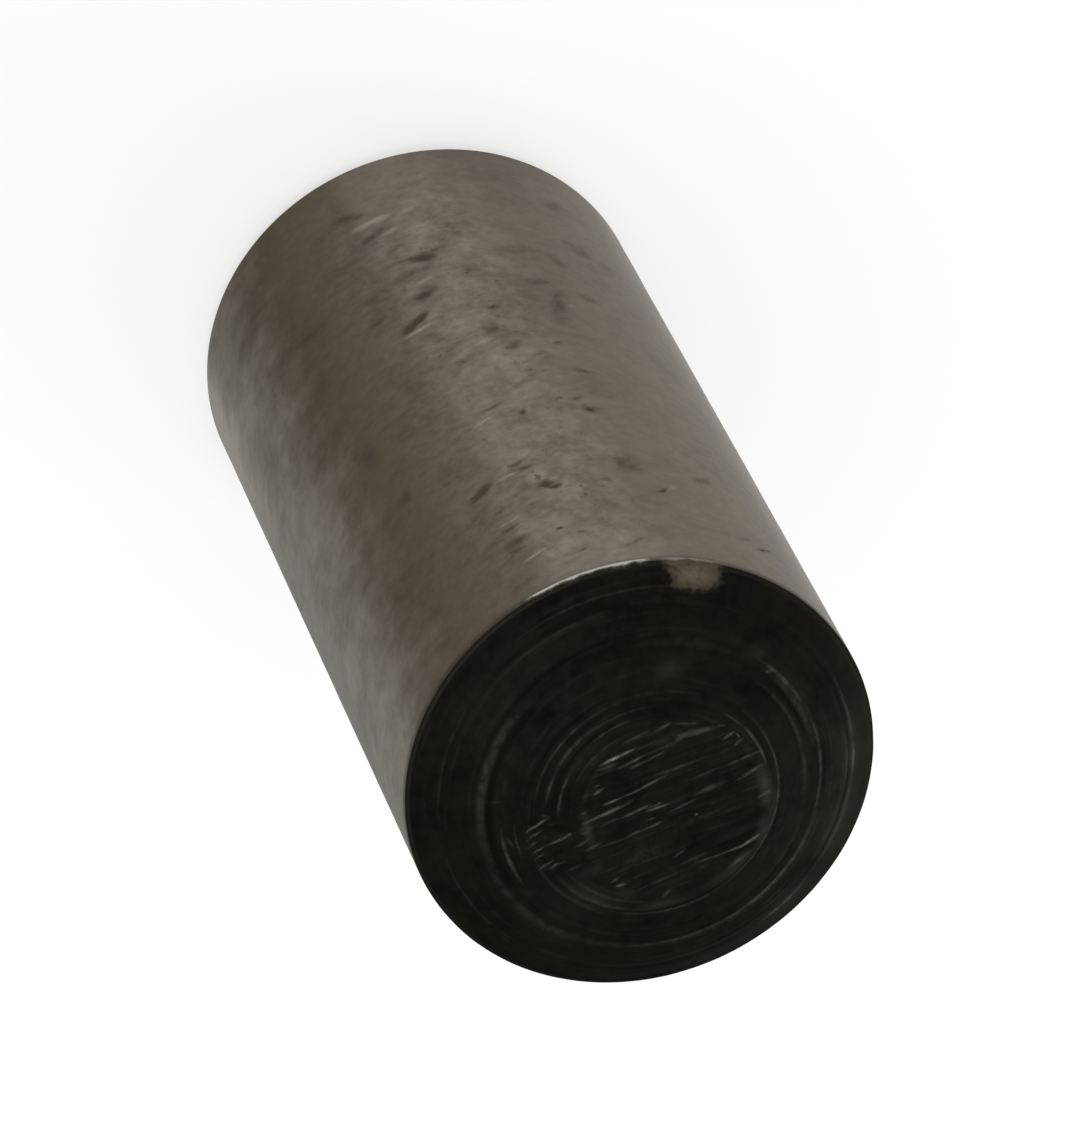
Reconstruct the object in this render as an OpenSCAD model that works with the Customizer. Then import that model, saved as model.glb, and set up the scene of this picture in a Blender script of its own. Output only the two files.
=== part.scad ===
// Parallel dowel pin, turned from one bar: a ground land, a flat foot with a chamfer, and a crowned
// upper end whose tip was sawn off a little askew. The origin is the centre of the foot face and +Z
// runs along the axis, towards the crowned end. All sizes are millimetres.

/* [Land] */
// Diameter of the ground land
pin_d = 10; // [9:0.5:20]
// Length from the foot face to the top of the rim
land_l = 20; // [8:1:80]
// Width of the 45 degree chamfer around the foot
foot_chamfer = 0.4; // [0.1:0.1:1.5]
// Width of the 45 degree break between the land and the crown
rim_break = 0.1; // [0.05:0.05:0.4]

/* [Crown] */
// Rise of the whole dome above its rim, before its tip was sawn off
crown_rise = 1.55; // [0.6:0.05:4]
// Radius of the sawn flat
sawn_flat_r = 2.1; // [1.2:0.05:2.4]
// Tilt of the sawn flat away from square to the axis, in degrees
saw_tilt = 3; // [0:0.5:6]
// Direction in which the sawn flat slopes down, in degrees from +X
saw_turn = 137; // [0:1:359]

/* [Turned rings] */
// Radius of the main turned step at its outer, steep side
step_r = 3.7; // [3.5:0.1:4]
// Width of the main step, from its steep side in to where it runs out
step_w = 0.35; // [0.2:0.05:0.5]
// Depth of the main step
step_depth = 0.07; // [0.02:0.01:0.12]
// Distance of the outer tool ring in from the rim
outer_ring_inset = 0.5; // [0.3:0.05:0.6]
// Radius of the inner tool ring, which runs around the sawn flat
inner_ring_r = 2.65; // [2.5:0.05:3]
// Radius of the tool nose that left the outer and inner rings
tool_nose_r = 0.1; // [0.06:0.01:0.2]
// Depth of the outer and inner tool rings
ring_depth = 0.03; // [0.01:0.01:0.05]

/* [Hidden] */
$fn = 180;

pin_r = pin_d / 2;
rim_r = pin_r - rim_break;
dome_r = (rim_r * rim_r + crown_rise * crown_rise) / (2 * crown_rise);
dome_centre_z = land_l + crown_rise - dome_r;
outer_ring_r = rim_r - outer_ring_inset;
sawn_flat_off_centre = sqrt(dome_r * dome_r - sawn_flat_r * sawn_flat_r);
// How far the crown's root reaches down inside the land, and cutters reach out of the surface
lap = 1;

land_colour = [0.42, 0.40, 0.37];
crown_colour = [0.13, 0.13, 0.12];

// Height of the dome at a radius from the axis
function dome_z(r) = dome_centre_z + sqrt(dome_r * dome_r - r * r);

// Ground land with the foot's chamfer below and the rim's break above
module land() {
    color(land_colour)
        rotate_extrude()
            polygon([
                [0, 0],
                [pin_r - foot_chamfer, 0],
                [pin_r, foot_chamfer],
                [pin_r, land_l - rim_break],
                [rim_r, land_l],
                [0, land_l]
            ]);
}

// Whole dome that springs from the rim
module crown() {
    color(crown_colour)
        intersection() {
            translate([0, 0, dome_centre_z])
                sphere(r = dome_r);
            translate([0, 0, land_l - lap])
                cylinder(h = crown_rise + 2 * lap, r = rim_r);
        }
}

// Tip of the dome that the saw took off, on a plane tilted about the dome's centre
module sawn_off_tip() {
    translate([0, 0, dome_centre_z])
        rotate([0, saw_tilt, saw_turn])
            translate([0, 0, sawn_flat_off_centre])
                cylinder(h = crown_rise + lap, r = pin_d);
}

// Round groove that a tool nose leaves at a radius, square to the dome
module tool_ring(r) {
    lift = tool_nose_r - ring_depth;
    along = r / dome_r;
    up = (dome_z(r) - dome_centre_z) / dome_r;
    rotate_extrude()
        translate([r + lift * along, dome_z(r) + lift * up])
            circle(r = tool_nose_r, $fn = 32);
}

// Main turned step: steep on its outer side, running out towards the middle
module turned_step() {
    inner_r = step_r - step_w;
    rotate_extrude()
        polygon([
            [step_r, dome_z(step_r) - step_depth],
            [step_r, dome_z(step_r) + lap],
            [inner_r, dome_z(inner_r) + lap],
            [inner_r, dome_z(inner_r)]
        ]);
}

module pin() {
    difference() {
        union() {
            land();
            crown();
        }
        color(crown_colour) {
            turned_step();
            tool_ring(outer_ring_r);
            tool_ring(inner_ring_r);
            sawn_off_tip();
        }
    }
}

pin();
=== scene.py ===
"""The looks of a worn parallel dowel pin: one turned steel piece, with its floor, light and camera."""

import logging
import math
from collections.abc import Callable, Mapping, Sequence
from dataclasses import dataclass
from enum import Enum
from typing import ClassVar, Union

import bpy
from mathutils import Matrix, Vector


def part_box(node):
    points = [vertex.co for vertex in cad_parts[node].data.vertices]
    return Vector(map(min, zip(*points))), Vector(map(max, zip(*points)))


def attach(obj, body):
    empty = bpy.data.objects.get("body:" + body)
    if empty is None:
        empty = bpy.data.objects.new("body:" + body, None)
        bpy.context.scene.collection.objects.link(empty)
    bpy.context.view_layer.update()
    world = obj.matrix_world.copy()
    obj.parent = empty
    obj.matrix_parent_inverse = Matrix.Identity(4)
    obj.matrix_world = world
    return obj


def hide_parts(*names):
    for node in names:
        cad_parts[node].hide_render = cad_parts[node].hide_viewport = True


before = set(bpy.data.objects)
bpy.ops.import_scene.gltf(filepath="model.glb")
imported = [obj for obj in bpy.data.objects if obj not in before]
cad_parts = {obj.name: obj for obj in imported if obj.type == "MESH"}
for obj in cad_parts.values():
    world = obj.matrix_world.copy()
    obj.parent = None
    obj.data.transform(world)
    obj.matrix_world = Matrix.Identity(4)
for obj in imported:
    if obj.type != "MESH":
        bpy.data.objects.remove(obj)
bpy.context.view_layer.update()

LOG = logging.getLogger("dowel_pin")
MM = 0.001
# Degrees from the saw's way where no arc lies, so that the turn around the crown can jump there
SEAM_WAY = 42.0

Value = Union["Wire", float, Sequence[float]]
Colour = tuple[float, ...]
Place = tuple[float, float]
WHITE: Colour = (1.0, 1.0, 1.0, 1.0)


class Stored(Enum):
    """Numbers that the wear stores on the mesh for the finishes to read."""

    HAZE = "haze"
    PITS = "pits"


class Wire:
    """One output socket of a node tree, whose operators add Math nodes."""

    def __init__(self, graph: "Graph", socket: bpy.types.NodeSocket) -> None:
        """Keeps the socket and the graph that it belongs to."""
        self.graph = graph
        self.socket = socket

    def math(self, operation: str, *others: Value) -> "Wire":
        """Adds a Math node with this wire as its first value.

        Args:
            operation: Name of the Math node's operation.
            others: The second and third values, where the operation has them.

        Returns:
            The node's result.
        """
        return self.graph.math(operation, self, *others)

    def __add__(self, other: Value) -> "Wire":
        """Sum."""
        return self.math("ADD", other)

    def __radd__(self, other: Value) -> "Wire":
        """Sum, with this wire on the right."""
        return self.math("ADD", other)

    def __sub__(self, other: Value) -> "Wire":
        """Difference."""
        return self.math("SUBTRACT", other)

    def __rsub__(self, other: Value) -> "Wire":
        """Difference, with this wire on the right."""
        return self.graph.math("SUBTRACT", other, self)

    def __mul__(self, other: Value) -> "Wire":
        """Product."""
        return self.math("MULTIPLY", other)

    def __rmul__(self, other: Value) -> "Wire":
        """Product, with this wire on the right."""
        return self.math("MULTIPLY", other)

    def __truediv__(self, other: Value) -> "Wire":
        """Quotient."""
        return self.math("DIVIDE", other)

    def __abs__(self) -> "Wire":
        """Size without sign."""
        return self.math("ABSOLUTE")

    def __or__(self, other: Value) -> "Wire":
        """The larger of two."""
        return self.math("MAXIMUM", other)

    def __and__(self, other: Value) -> "Wire":
        """The smaller of two."""
        return self.math("MINIMUM", other)

    def above(self, limit: Value) -> "Wire":
        """One where the wire is above the limit, zero elsewhere."""
        return self.math("GREATER_THAN", limit)

    def over(self, floor: float) -> "Wire":
        """How far this lies above a floor, and zero below it."""
        return (self - floor) | 0.0

    def swing(self, size: Value) -> "Wire":
        """How far noise is from its middle of a half, times a size."""
        return (self - 0.5) * size

    def fade(self, zero_at: float, one_at: float) -> "Wire":
        """Smooth mask of the wire.

        Args:
            zero_at: Value of the wire at which the mask is 0.
            one_at: Value of the wire at which the mask is 1, above or below the other.

        Returns:
            The mask, from 0 to 1.
        """
        settings = {"interpolation_type": "SMOOTHSTEP"}
        return self.graph.node("ShaderNodeMapRange", settings, {0: self, 1: zero_at, 2: one_at})


class Graph:
    """A node tree that is filled by Python expressions."""

    def __init__(self, tree: bpy.types.NodeTree) -> None:
        """Keeps the tree."""
        self.tree = tree

    def feed(self, socket: bpy.types.NodeSocket, value: Value | str) -> None:
        """Links a wire to an input socket, or sets a constant on it."""
        if isinstance(value, Wire):
            self.tree.links.new(value.socket, socket)
        elif socket.type == "VECTOR":
            socket.default_value = value[:3]
        else:
            socket.default_value = value

    def feed_all(self, node: bpy.types.Node, inputs: Mapping[int | str, Value | str]) -> None:
        """Feeds input sockets of a node, given by number or name."""
        for name, value in inputs.items():
            self.feed(node.inputs[name], value)

    def node(
        self,
        kind: str,
        settings: Mapping[str, object] | None = None,
        inputs: Mapping[int | str, Value | str] | None = None,
        out: int | str = 0,
    ) -> Wire:
        """Adds a node of any type.

        Args:
            kind: The node's type name.
            settings: The node's own properties, set before its sockets.
            inputs: Values or wires of its input sockets, by number or name.
            out: The output that is wanted, by number or name.

        Returns:
            That output.
        """
        made = self.tree.nodes.new(kind)
        for name, value in (settings or {}).items():
            setattr(made, name, value)
        self.feed_all(made, inputs or {})
        return Wire(self, made.outputs[out])

    def math(self, operation: str, *values: Value) -> Wire:
        """Adds a Math node.

        Args:
            operation: Name of its operation.
            values: Its values, in order.

        Returns:
            Its result.
        """
        return self.node("ShaderNodeMath", {"operation": operation}, dict(enumerate(values)))

    def vectors(self, operation: str, *values: Value, scale: Value | None = None) -> Wire:
        """Adds a Vector Math node.

        Args:
            operation: Name of its operation.
            values: Its vectors, in order.
            scale: The factor, for the operation SCALE.

        Returns:
            Its vector, or its number for LENGTH and DOT_PRODUCT.
        """
        inputs: dict[int | str, Value] = dict(enumerate(values))
        if scale is not None:
            inputs["Scale"] = scale
        out = "Value" if operation in ("LENGTH", "DOT_PRODUCT") else "Vector"
        return self.node("ShaderNodeVectorMath", {"operation": operation}, inputs, out)

    def vector(self, x: Value, y: Value, z: Value) -> Wire:
        """Joins three numbers into a vector."""
        return self.node("ShaderNodeCombineXYZ", None, {0: x, 1: y, 2: z})

    def parts(self, vector: Wire) -> list[Wire]:
        """Splits a vector into its three numbers."""
        split = self.node("ShaderNodeSeparateXYZ", None, {0: vector}).socket.node
        return [Wire(self, socket) for socket in split.outputs]

    def turned(self, place: Wire, degrees: float) -> Wire:
        """Turns a place around Z."""
        inputs = {"Vector": place, "Angle": math.radians(degrees)}
        return self.node("ShaderNodeVectorRotate", {"rotation_type": "Z_AXIS"}, inputs)

    def azimuth(self, x: Wire, y: Wire) -> Wire:
        """Turn of a place from +X, in degrees."""
        return y.math("ARCTAN2", x) * math.degrees(1.0)

    def mix(self, first: Value, second: Value, factor: Value) -> Wire:
        """Mixes two colours, from the first at 0 to the second at 1."""
        return self.node("ShaderNodeMix", {"data_type": "RGBA"}, {0: factor, 6: first, 7: second}, 2)

    def stored(self, number: Stored) -> Wire:
        """A number that the wear has stored on the mesh."""
        return self.node("ShaderNodeAttribute", {"attribute_name": number.value}, None, "Fac")

    def ramp(self, factor: Wire, stops: Sequence[tuple[float, Colour]]) -> Wire:
        """Adds a colour ramp.

        Args:
            factor: Where the ramp is read, from 0 to 1.
            stops: Places on the ramp with their colours, in rising order.

        Returns:
            The colour.
        """
        wire = self.node("ShaderNodeValToRGB", None, {0: factor})
        elements = wire.socket.node.color_ramp.elements
        elements.remove(elements[1])
        elements[0].position, elements[0].color = stops[0]
        for position, colour in stops[1:]:
            elements.new(position).color = colour
        return wire

    def noise(
        self,
        place: Wire,
        grains: Sequence[float],
        detail: float = 3.0,
        roughness: float = 0.5,
        shift: Sequence[float] = (0.0, 0.0, 0.0),
    ) -> Wire:
        """Adds fractal noise around 0.5.

        Args:
            place: Where it is read, in millimetres.
            grains: How many grains there are in a millimetre, along each axis.
            detail: How many finer octaves are added.
            roughness: How strong the finer octaves are.
            shift: Moves the pattern, in grains.

        Returns:
            The noise's value.
        """
        where = self.vectors("MULTIPLY_ADD", place, tuple(grains), tuple(shift))
        inputs = {"Vector": where, "Scale": 1.0, "Detail": detail, "Roughness": roughness}
        return self.node("ShaderNodeTexNoise", {"noise_dimensions": "3D"}, inputs)

    def in_oval(self, place: Wire, middle: Place, halves: Place, tilt: float) -> Wire:
        """Nearness to the middle of an oval.

        Args:
            place: Where it is read, as a vector whose Z is zero.
            middle: The oval's middle.
            halves: Half its length and half its width.
            tilt: Turn of its length, in degrees.

        Returns:
            1 at the middle, falling evenly to 0 on the oval's edge.
        """
        inputs = {
            "Vector": place,
            "Location": (*middle, 0.0),
            "Rotation": (0.0, 0.0, math.radians(tilt)),
            "Scale": (*halves, 1.0),
        }
        away = self.node("ShaderNodeMapping", {"vector_type": "TEXTURE"}, inputs)
        return self.node("ShaderNodeTexGradient", {"gradient_type": "SPHERICAL"}, {0: away}, "Fac")


@dataclass(frozen=True)
class Stretch:
    """A stretch of azimuth, in degrees from +X: its middle, half its width, and how far its ends fade."""

    centre: float
    half: float
    soft: float


class Spot:
    """Where a point of the pin is, as wires in millimetres."""

    def __init__(self, graph: Graph, metres: Wire) -> None:
        """Splits the point.

        Args:
            graph: The tree that the wires belong to.
            metres: The point in the pin's own frame.
        """
        self.graph = graph
        self.point = graph.vectors("SCALE", metres, scale=1.0 / MM)
        self.x, self.y, self.z = graph.parts(self.point)
        self.flat = graph.vector(self.x, self.y, 0.0)
        self.radius = graph.vectors("LENGTH", self.flat)
        self.outward = graph.vectors("NORMALIZE", self.flat)

    def turn(self) -> Wire:
        """Azimuth of the point in degrees, from +X."""
        return self.graph.azimuth(self.x, self.y)

    def window(self, stretch: Stretch) -> Wire:
        """Mask of a stretch of azimuth, from 0 outside it to 1 inside."""
        aim = math.radians(stretch.centre)
        facing = self.graph.vectors("DOT_PRODUCT", self.outward, (math.cos(aim), math.sin(aim), 0.0))
        end = math.radians(min(stretch.half + stretch.soft, 180.0))
        return facing.fade(math.cos(end), math.cos(math.radians(stretch.half)))

    def band(self, radius: float, half: float) -> Wire:
        """Soft mask of a ring around the axis.

        Args:
            radius: Radius of the ring's middle.
            half: Distance from there at which the mask ends.

        Returns:
            The mask, from 0 to 1.
        """
        return abs(self.radius - radius).fade(half, 0.0)


class MeshGraph(Graph):
    """A geometry tree that changes a piece's mesh and is then applied to it."""

    def __init__(self, name: str) -> None:
        """Starts the tree with the mesh that comes in and the places of its points.

        Args:
            name: Name of the tree and its modifier.
        """
        tree = bpy.data.node_groups.new(name, "GeometryNodeTree")
        tree.interface.new_socket("Geometry", in_out="INPUT", socket_type="NodeSocketGeometry")
        tree.interface.new_socket("Geometry", in_out="OUTPUT", socket_type="NodeSocketGeometry")
        super().__init__(tree)
        self.shape = self.node("NodeGroupInput")
        self.spot = Spot(self, self.node("GeometryNodeInputPosition"))

    def stored(self, number: Stored) -> Wire:
        """A number that an earlier tree has stored on the mesh."""
        inputs = {"Name": number.value}
        return self.node("GeometryNodeInputNamedAttribute", {"data_type": "FLOAT"}, inputs, "Attribute")

    def in_oval(self, place: Wire, middle: Place, halves: Place, tilt: float) -> Wire:
        """The same nearness, from the nodes that a geometry tree has."""
        away = self.vectors("SUBTRACT", place, (*middle, 0.0))
        if tilt:
            away = self.turned(away, -tilt)
        shrunk = self.vectors("MULTIPLY", away, (1.0 / halves[0], 1.0 / halves[1], 0.0))
        return (1.0 - self.vectors("LENGTH", shrunk)) | 0.0

    def store(self, number: Stored, value: Wire) -> None:
        """Stores a number on each point of the mesh."""
        inputs = {"Geometry": self.shape, "Name": number.value, "Value": value}
        self.shape = self.node("GeometryNodeStoreNamedAttribute", {"domain": "POINT"}, inputs)

    def place(self, point: Wire) -> None:
        """Moves each point of the mesh to a place given in millimetres."""
        inputs = {"Geometry": self.shape, "Position": self.vectors("SCALE", point, scale=MM)}
        self.shape = self.node("GeometryNodeSetPosition", None, inputs)

    def apply(self, piece: bpy.types.Object) -> None:
        """Runs the tree on a piece and keeps the mesh that it makes."""
        self.feed(self.tree.nodes.new("NodeGroupOutput").inputs[0], self.shape)
        modifier = piece.modifiers.new(self.tree.name, "NODES")
        modifier.node_group = self.tree
        bpy.ops.object.select_all(action="DESELECT")
        piece.select_set(True)
        bpy.context.view_layer.objects.active = piece
        bpy.ops.object.modifier_apply(modifier=modifier.name)


def paint(red: int, green: int, blue: int) -> Colour:
    """Turns a colour as seen on a screen into the shader's linear one.

    Args:
        red: Red from 0 to 255.
        green: Green from 0 to 255.
        blue: Blue from 0 to 255.

    Returns:
        The linear colour with full alpha.
    """
    parts = [v / 255.0 for v in (red, green, blue)]
    linear = [p / 12.92 if p <= 0.04045 else ((p + 0.055) / 1.055) ** 2.4 for p in parts]
    return (*linear, 1.0)


@dataclass(frozen=True)
class Dome:
    """The crown's form, in millimetres: a dome on the rim, sawn off a little askew."""

    rim_z: float
    rim_r: float = 4.9
    rise: float = 1.55
    flat_r: float = 2.1
    saw_tilt: float = 3.0
    saw_turn: float = 137.0
    edge_outside: float = 0.03
    edge_inside: float = 0.07

    @property
    def dome_r(self) -> float:
        """Radius of the sphere that the dome is part of."""
        return (self.rim_r**2 + self.rise**2) / (2.0 * self.rise)

    @property
    def centre_z(self) -> float:
        """Height of the sphere's centre."""
        return self.rim_z + self.rise - self.dome_r

    @property
    def flat_normal(self) -> Vector:
        """Outward normal of the sawn flat."""
        tilt, turn = math.radians(self.saw_tilt), math.radians(self.saw_turn)
        return Vector((math.sin(tilt) * math.cos(turn), math.sin(tilt) * math.sin(turn), math.cos(tilt)))

    @property
    def flat_distance(self) -> float:
        """Distance of the sawn flat from the sphere's centre."""
        return math.sqrt(self.dome_r**2 - self.flat_r**2)

    def height(self, spot: Spot) -> Wire:
        """Height of the whole dome at a point's radius."""
        inside = self.dome_r**2 - spot.radius * spot.radius
        return (inside | 0.0).math("SQRT") + self.centre_z

    def sawn_mask(self, spot: Spot) -> Wire:
        """Mask of the sawn flat, from 0 outside it to 1 inside."""
        middle = self.flat_normal * self.flat_distance
        away = spot.graph.vectors("SUBTRACT", spot.flat, (middle.x, middle.y, 0.0))
        ends = (self.flat_r + self.edge_outside, self.flat_r - self.edge_inside)
        return spot.graph.vectors("LENGTH", away).fade(*ends)


@dataclass(frozen=True)
class Arc:
    """A light or dark stretch of a tool ring, light as a turned line with painted highlight and dark as
    painted shade: millimetres, and degrees from the saw's way.
    """

    lengthening: ClassVar[float] = 1.25
    thinning: ClassVar[float] = 0.8
    radius: float
    half: float
    centre: float
    reach: float
    shine: float
    soft: float = 10.0
    tilt: float = 0.0

    @property
    def middle(self) -> Place:
        """Turn of the arc's middle from opposite the seam, in degrees, and its radius."""
        return ((self.centre - SEAM_WAY) % 360.0 - 180.0, self.radius)

    @property
    def halves(self) -> Place:
        """Half its length in degrees, let out for its faded ends, and half its width."""
        return (self.lengthening * self.reach + self.soft, self.thinning * self.half)


@dataclass(frozen=True)
class Score:
    """One score of the saw, from end to end, in millimetres along and across the saw's way."""

    lengthening: ClassVar[float] = 0.85
    fade_end: ClassVar[float] = 0.02
    start: Place
    end: Place
    half: float
    shine: float

    @property
    def middle(self) -> Place:
        """Middle of the score."""
        return ((self.start[0] + self.end[0]) / 2.0, (self.start[1] + self.end[1]) / 2.0)

    @property
    def halves(self) -> Place:
        """Half its length, let out for its faded ends, and half its width."""
        return (math.dist(self.start, self.end) * self.lengthening + self.fade_end, self.half)

    @property
    def tilt(self) -> float:
        """Turn of the score from the saw's way, in degrees."""
        return math.degrees(math.atan2(self.end[1] - self.start[1], self.end[0] - self.start[0]))


@dataclass(frozen=True)
class Patch:
    """A soft light or dark patch on the crown, in millimetres along and across the saw's way."""

    middle: Place
    halves: Place
    tilt: float
    shine: float


@dataclass(frozen=True)
class Pit:
    """One pit, smudge or scuff on the land: degrees from +X, way down from the rim, size and strength."""

    turn: float
    down: float
    halves: Place
    strength: float
    tilt: float = 0.0


class CrownMarks:
    """The marks that the turning tool and the saw left on the crown, in millimetres.

    Arcs are light stretches of the tool rings, turned lines with painted highlight, and shadows are dark
    stretches of painted shade beside them. Grooves are rings, each with its depth. Scores, torn flecks,
    patches and the painted shadows beside the scores are placed along and across the saw's way.
    """

    saw_way = 172.0
    step_outer = 3.70
    step_inner = 3.35
    step_depth = 0.055
    groove_half = 0.09
    grooves = (
        (4.40, 0.015),
        (2.65, 0.025),
        (2.40, 0.020),
        (2.12, 0.015),
        (1.87, 0.012),
        (3.22, 0.015),
        (4.20, 0.008),
    )
    noise_floor = 0.35
    grain_depth = 0.012
    saw_depth = 0.10
    torn_place = ((-2.25, -0.10), (0.62, 0.85), 8.0)
    torn_floor = 0.3
    torn_depth = 0.16
    crisp_line = 0.9
    crisp_patch = 1.0
    crisp_shadow = 0.8
    # Light stretches of the tool rings: turned lines with painted highlight.
    arcs = (
        Arc(4.44, 0.06, -2.0, 9.0, 0.9, 5.0),
        Arc(4.46, 0.06, -16.0, 3.0, 1.6, 3.0),
        Arc(4.3, 0.05, -17.0, 5.0, 0.8, 5.0),
        Arc(4.45, 0.06, -36.0, 15.0, 0.4),
        Arc(4.5, 0.07, -64.0, 5.0, 2.4, 4.0),
        Arc(4.15, 0.06, -63.0, 5.0, 1.0, 4.0),
        Arc(4.02, 0.05, -62.0, 4.0, 0.8, 4.0),
        Arc(4.54, 0.05, 82.0, 22.0, 0.6),
        Arc(4.25, 0.06, 105.0, 14.0, 0.4),
        Arc(4.37, 0.05, 153.0, 12.0, 0.6),
        Arc(4.38, 0.07, -162.0, 14.0, 0.5),
        Arc(3.62, 0.08, 24.0, 8.0, 2.2, 4.0),
        Arc(3.54, 0.15, 14.0, 15.0, 1.0, 5.0),
        Arc(3.65, 0.07, -10.0, 20.0, 0.9),
        Arc(3.26, 0.08, 5.0, 24.0, 0.7, 7.0),
        Arc(3.71, 0.08, -62.0, 30.0, 1.5, 9.0),
        Arc(3.38, 0.09, -50.0, 14.0, 0.4),
        Arc(3.68, 0.08, -100.0, 12.0, 0.6),
        Arc(3.63, 0.16, -140.0, 30.0, 0.8),
        Arc(3.58, 0.17, 172.0, 26.0, 0.7),
        Arc(3.57, 0.15, 145.0, 18.0, 0.8),
        Arc(3.52, 0.14, 64.0, 12.0, 0.35, 7.0),
        Arc(3.21, 0.08, -176.0, 9.0, 2.2, 5.0),
        Arc(2.95, 0.05, 177.0, 5.0, 1.0, 4.0),
        Arc(2.64, 0.06, -22.0, 46.0, 1.2, 6.0),
        Arc(2.65, 0.06, -98.0, 24.0, 1.0),
        Arc(2.58, 0.06, 74.0, 20.0, 0.35, 7.0),
        Arc(2.57, 0.05, 130.0, 30.0, 0.8),
        Arc(2.42, 0.06, 12.0, 12.0, 2.2, 6.0),
        Arc(2.4, 0.05, 32.0, 5.0, 0.9, 3.0),
        Arc(2.35, 0.06, 124.0, 14.0, 0.8, 6.0),
        Arc(2.34, 0.06, 149.0, 6.0, 1.3, 4.0),
        Arc(2.32, 0.05, 96.0, 14.0, 0.5),
        Arc(2.14, 0.04, 104.0, 10.0, 1.6, 4.0),
        Arc(2.08, 0.06, 150.0, 10.0, 1.7, 5.0),
        Arc(1.89, 0.06, 118.0, 22.0, 0.6),
        Arc(2.53, 0.11, -138.0, 20.0, 1.0),
        Arc(2.32, 0.1, -132.0, 20.0, 0.9),
        Arc(2.74, 0.08, -150.0, 16.0, 0.6),
    )
    # Dark stretches beside the tool rings: painted shade.
    shadows = (
        Arc(3.42, 0.14, 165.0, 45.0, 0.6, 15.0),
        Arc(3.44, 0.14, -60.0, 25.0, 0.5, 10.0),
        Arc(3.4, 0.08, 16.0, 12.0, 0.6, 5.0),
        Arc(2.52, 0.06, 2.0, 24.0, 0.5, 10.0),
        Arc(2.22, 0.06, 130.0, 24.0, 0.6, 8.0),
        Arc(4.34, 0.08, -45.0, 30.0, 0.5, 12.0),
    )
    scores = (
        Score((-0.88, 1.44), (-0.2, 1.5), 0.06, 8.0),
        Score((0.0, 1.47), (0.35, 1.5), 0.045, 1.2),
        Score((-1.0, 1.36), (-0.6, 1.32), 0.065, 2.0),
        Score((-0.45, 1.2), (0.05, 1.26), 0.055, 2.8),
        Score((0.0, 1.26), (0.5, 1.28), 0.04, 1.2),
        Score((-0.22, 1.1), (0.12, 1.12), 0.05, 3.4),
        Score((0.1, 1.13), (0.45, 1.16), 0.035, 2.0),
        Score((0.5, 1.24), (1.05, 1.38), 0.09, 1.2),
        Score((0.9, 1.38), (1.6, 1.28), 0.11, 1.7),
        Score((-0.3, 1.74), (0.25, 1.78), 0.06, 1.0),
        Score((0.5, 1.72), (0.8, 1.78), 0.06, 1.8),
        Score((0.9, 1.7), (1.25, 1.54), 0.05, 1.9),
        Score((1.55, 1.5), (1.68, 1.38), 0.045, 2.4),
        Score((1.74, 1.28), (1.84, 1.22), 0.045, 3.0),
        Score((1.75, 0.93), (1.95, 0.98), 0.045, 3.2),
        Score((1.92, 0.68), (2.1, 0.76), 0.045, 3.2),
        Score((2.02, 0.92), (2.06, 0.82), 0.035, 2.6),
        Score((-1.42, 0.84), (-1.2, 0.9), 0.08, 1.0),
        Score((-1.16, 0.83), (-0.95, 0.87), 0.06, 5.0),
        Score((-1.12, 1.0), (-1.0, 0.99), 0.04, 2.2),
        Score((0.28, 0.69), (1.1, 0.68), 0.065, 1.3),
        Score((-1.02, 0.49), (-0.76, 0.5), 0.045, 5.0),
        Score((-0.78, 0.49), (0.0, 0.54), 0.04, 1.8),
        Score((-0.3, 0.53), (0.32, 0.6), 0.042, 2.4),
        Score((-1.5, 0.47), (-1.42, 0.5), 0.045, 2.0),
        Score((-1.45, 0.25), (-0.62, 0.3), 0.065, 3.6),
        Score((-0.66, 0.29), (-0.45, 0.34), 0.045, 1.8),
        Score((0.9, 0.28), (1.45, 0.31), 0.055, 0.8),
        Score((1.62, 0.29), (2.42, 0.33), 0.045, 2.0),
        Score((-1.22, 0.02), (-0.85, 0.04), 0.045, 1.0),
        Score((-0.66, 0.03), (-0.2, 0.08), 0.05, 3.6),
        Score((-0.22, 0.03), (0.1, 0.02), 0.035, 1.8),
        Score((-0.2, -0.04), (0.18, -0.06), 0.045, 3.2),
        Score((0.05, 0.04), (0.09, 0.04), 0.04, 2.5),
        Score((0.88, -0.1), (1.4, -0.08), 0.08, 1.4),
        Score((1.75, -0.15), (2.05, -0.11), 0.05, 1.8),
        Score((2.0, -0.1), (2.26, -0.04), 0.07, 2.2),
        Score((0.3, -0.26), (0.75, -0.22), 0.045, 1.8),
        Score((-0.25, -0.25), (-0.09, -0.27), 0.045, 1.8),
        Score((-0.72, -0.45), (-0.38, -0.42), 0.045, 1.8),
        Score((-0.4, -0.45), (0.0, -0.42), 0.048, 2.8),
        Score((-1.32, -0.45), (-0.75, -0.48), 0.05, 0.8),
        Score((0.71, -0.57), (0.76, -0.57), 0.045, 4.0),
        Score((2.08, -0.74), (2.3, -0.7), 0.055, 2.6),
        Score((0.05, -1.35), (0.26, -1.29), 0.045, 1.3),
        Score((-1.42, -1.38), (-1.22, -1.34), 0.045, 1.8),
        Score((-1.32, -1.51), (-1.1, -1.55), 0.045, 2.8),
        Score((0.0, -1.6), (0.62, -1.57), 0.055, 0.9),
        Score((0.52, -1.71), (1.1, -1.73), 0.04, 2.0),
        Score((1.0, -1.73), (1.66, -1.71), 0.04, 2.4),
        Score((1.4, -1.74), (1.9, -1.62), 0.05, 4.2),
        Score((-0.9, -1.8), (0.0, -1.75), 0.055, 0.7),
        Score((1.1, -2.1), (1.7, -1.9), 0.06, 1.6),
        Score((-0.45, -2.2), (-0.25, -2.1), 0.05, 1.8),
    )
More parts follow.
